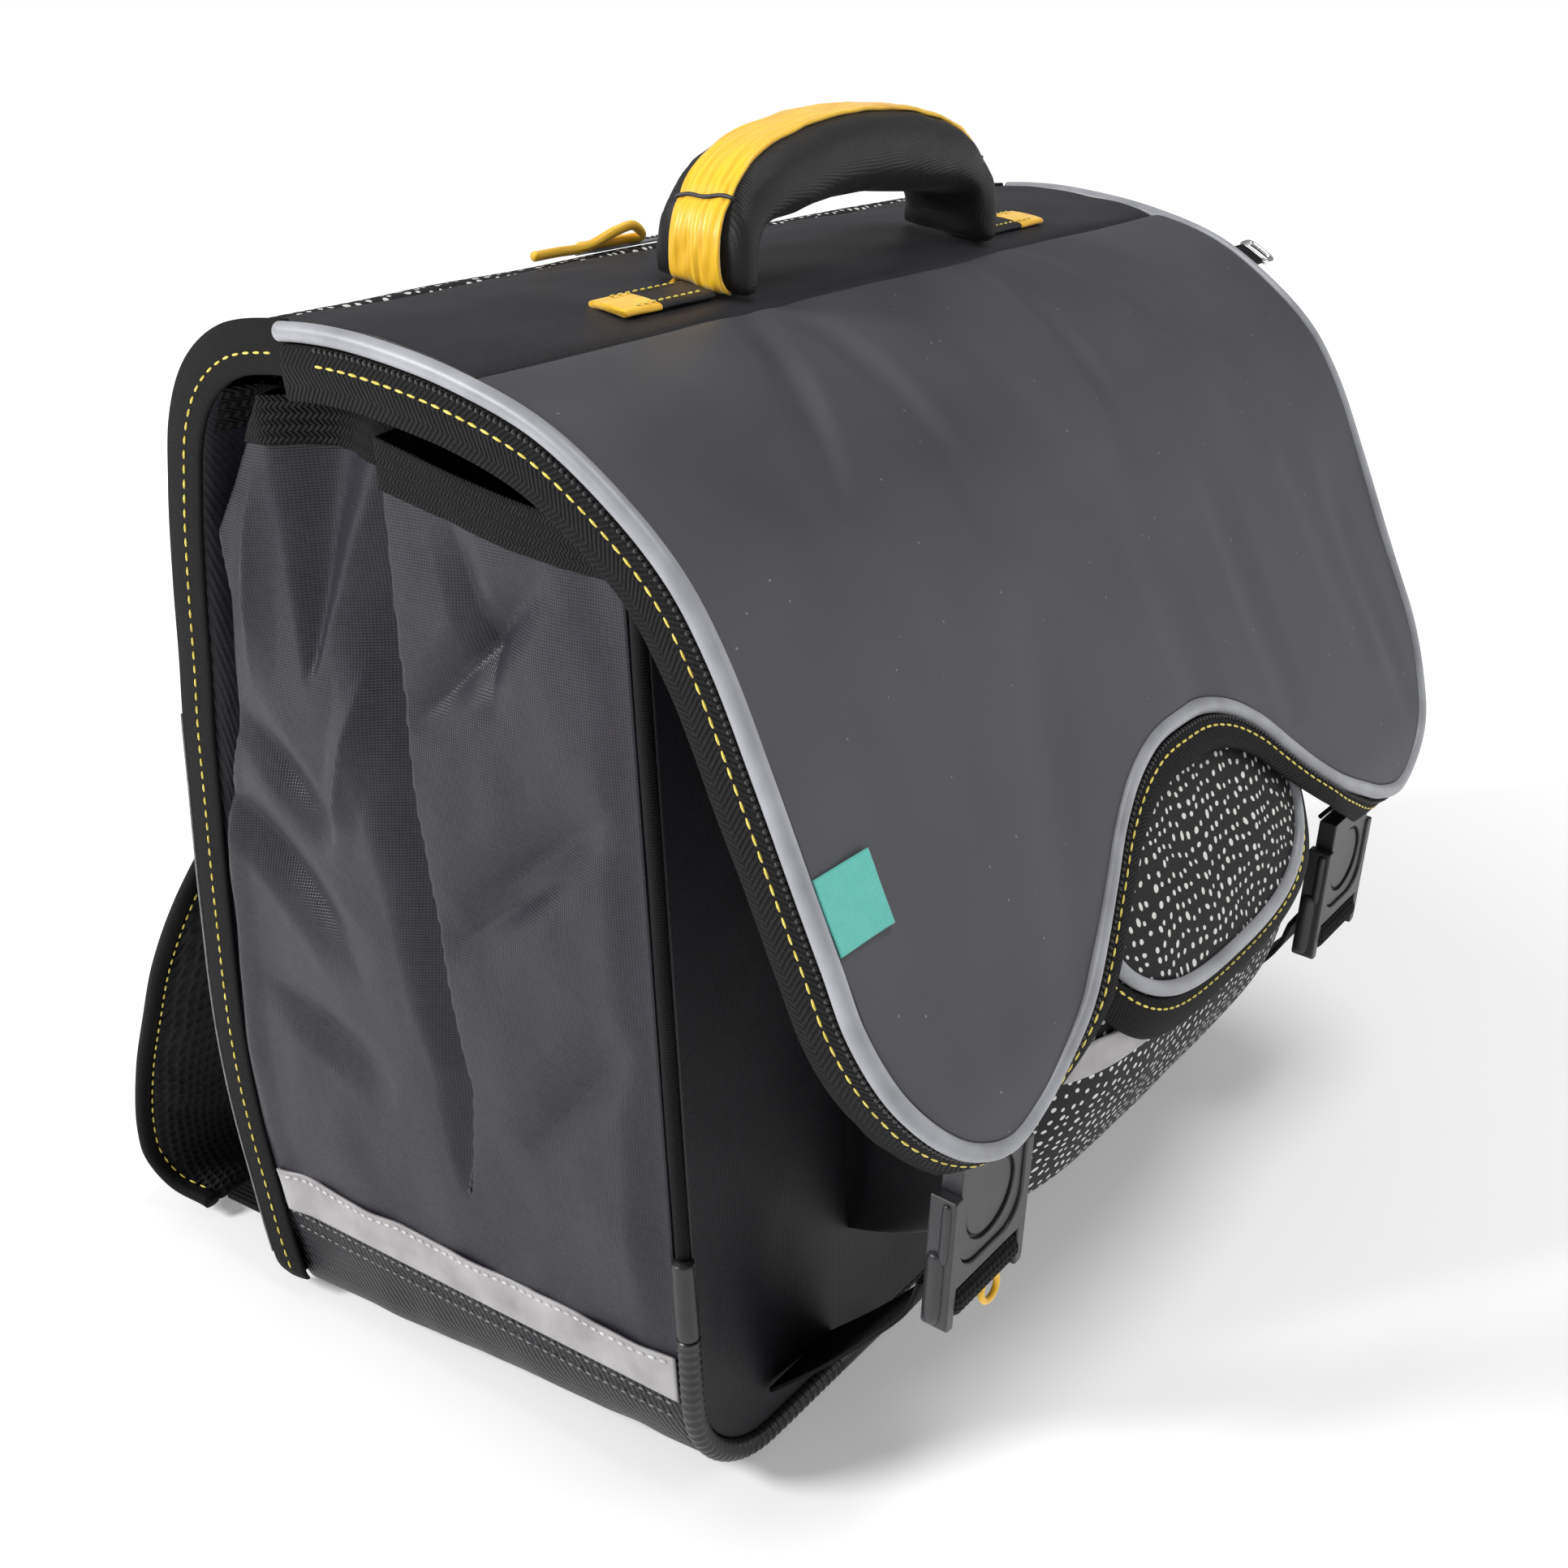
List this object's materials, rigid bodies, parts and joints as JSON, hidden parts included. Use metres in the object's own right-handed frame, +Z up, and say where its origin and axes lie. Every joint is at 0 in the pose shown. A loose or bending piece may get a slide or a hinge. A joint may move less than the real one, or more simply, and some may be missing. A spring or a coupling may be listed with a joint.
{
  "type": "school ransel",
  "caption": "Stiff-backed school ransel with a wide curved flap held by buckles, side gussets, a front pocket, a padded handle and shoulder straps.",
  "frame": {"origin": "middle of the flat base, where the bag stands", "axes": "+X to the wearer's right seen from the front, +Y to the back panel and the shoulder straps, +Z up"},
  "size_m": [0.4182, 0.3742, 0.406],
  "materials": {
    "rubber_cloth": "matte rubber-coated cloth, soft creases",
    "dark_nylon": "plain dark nylon",
    "gusset_nylon": "grey-violet nylon with a soft sheen",
    "front_nylon": "charcoal nylon",
    "carbon_weave": "coated twill-look base cloth",
    "reflective": "light grey reflective tape",
    "black_webbing": "ribbed black webbing",
    "black_plastic": "moulded black acetal, fine texture",
    "tube_rubber": "ribbed black corner guard",
    "dotted_cloth": "black cloth with small white dots",
    "padding": "black padded cloth",
    "yellow_nylon": "bright yellow nylon, gathered",
    "teal_label": "woven label, bare",
    "steel_wire": "nickel-plated wire"
  },
  "bodies": {
    "root": {"back_binding_left": "black_webbing", "back_binding_right": "black_webbing", "back_panel": "padding", "base_panel": "carbon_weave", "base_sleeve_left": "tube_rubber", "base_sleeve_right": "tube_rubber", "buckle_frame_left": "black_plastic", "buckle_frame_right": "black_plastic", "buckle_strap_left": "black_webbing", "buckle_strap_right": "black_webbing", "buckle_tongue_left": "black_plastic", "buckle_tongue_right": "black_plastic", "corner_tube_left": "tube_rubber", "corner_tube_right": "tube_rubber", "flap": "rubber_cloth", "flap_binding": "black_webbing", "flap_hanger_left": "black_webbing", "flap_hanger_right": "black_webbing", "flap_label": "teal_label", "flap_piping": "reflective", "front_panel": "front_nylon", "front_piping_left": "black_webbing", "front_piping_right": "black_webbing", "gusset_left": "gusset_nylon", "gusset_right": "gusset_nylon", "gusset_top_tape_left": "black_webbing", "gusset_top_tape_right": "black_webbing", "handle_grip": "padding", "handle_strip": "yellow_nylon", "handle_tab_end_left": "yellow_nylon", "handle_tab_end_right": "yellow_nylon", "handle_tab_left": "black_webbing", "handle_tab_right": "black_webbing", "lid_piping": "reflective", "lid_tape": "black_webbing", "pocket_body": "dotted_cloth", "pocket_lid": "dotted_cloth", "pocket_pull_loop": "yellow_nylon", "pocket_strip": "reflective", "rear_yoke": "dotted_cloth", "rear_zip": "reflective", "ring_tab": "black_webbing", "shoulder_strap_left": "padding", "shoulder_strap_right": "padding", "side_reflective_left": "reflective", "side_reflective_right": "reflective", "side_ring": "steel_wire", "side_sleeve_left": "tube_rubber", "side_sleeve_right": "tube_rubber", "strap_tail_left": "black_webbing", "strap_tail_right": "black_webbing", "top_band": "dark_nylon", "webbing_roll_left": "black_webbing", "webbing_roll_right": "black_webbing", "zip_pull": "yellow_nylon"}
  },
  "joints": []
}
